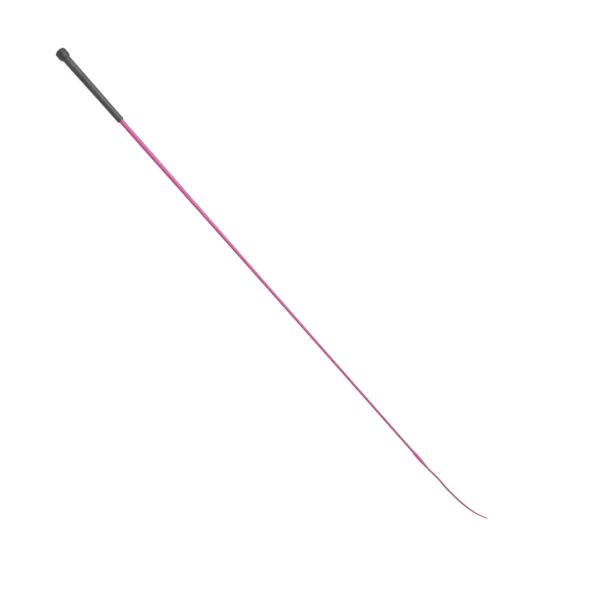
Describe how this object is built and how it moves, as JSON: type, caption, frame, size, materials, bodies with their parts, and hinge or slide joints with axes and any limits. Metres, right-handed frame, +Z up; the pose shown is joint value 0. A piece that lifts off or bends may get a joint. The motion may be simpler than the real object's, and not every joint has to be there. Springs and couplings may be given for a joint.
{
  "type": "dressage whip",
  "caption": "Long tapered riding whip with a mushroom-capped rubber grip, a braid-covered rod and a thin flexible cord lash bound to its tip with thread.",
  "frame": {"origin": "on the surface that the whip lies on, below the middle of the whip without its lash", "axes": "+X from the butt cap towards the lash, +Z up from the surface, +Y the side that the lash's end curves to"},
  "size_m": [1.1009, 0.031, 0.0204],
  "materials": {
    "cap_rubber": "matt moulded rubber",
    "insert_plastic": "moulded",
    "former_plastic": "moulded",
    "grip_rubber": "matt rubber with a fine grain",
    "rod_fibreglass": "ground glass-fibre rod",
    "cover_braid": "tight nylon braid, slightly glossy",
    "lash_cord": "soft nylon braid",
    "binding_thread": "close-wound glossy thread"
  },
  "bodies": {
    "whip": {"cap_shell": "cap_rubber", "cap_insert": "insert_plastic", "handle_former": "former_plastic", "grip_sleeve": "grip_rubber", "core_rod": "rod_fibreglass", "braid_cover": "cover_braid", "lash_bound_end": "lash_cord", "thread_binding": "binding_thread"},
    "lash_root": {"lash_root": "lash_cord"},
    "lash_middle": {"lash_middle": "lash_cord"},
    "lash_end": {"lash_end": "lash_cord"}
  },
  "joints": [
    {"name": "lash_root_bend", "type": "hinge", "parent": "whip", "child": "lash_root", "pos_m": [0.48749, 0.0001, 0.0028], "axis": [0, 0, 1], "range_deg": [-60, 60]},
    {"name": "lash_middle_bend", "type": "hinge", "parent": "lash_root", "child": "lash_middle", "pos_m": [0.53049, 0.0017, 0.0018], "axis": [0, 0, 1], "range_deg": [-60, 60]},
    {"name": "lash_end_bend", "type": "hinge", "parent": "lash_middle", "child": "lash_end", "pos_m": [0.57849, 0.0062, 0.0016], "axis": [0, 0, 1], "range_deg": [-60, 60]}
  ]
}
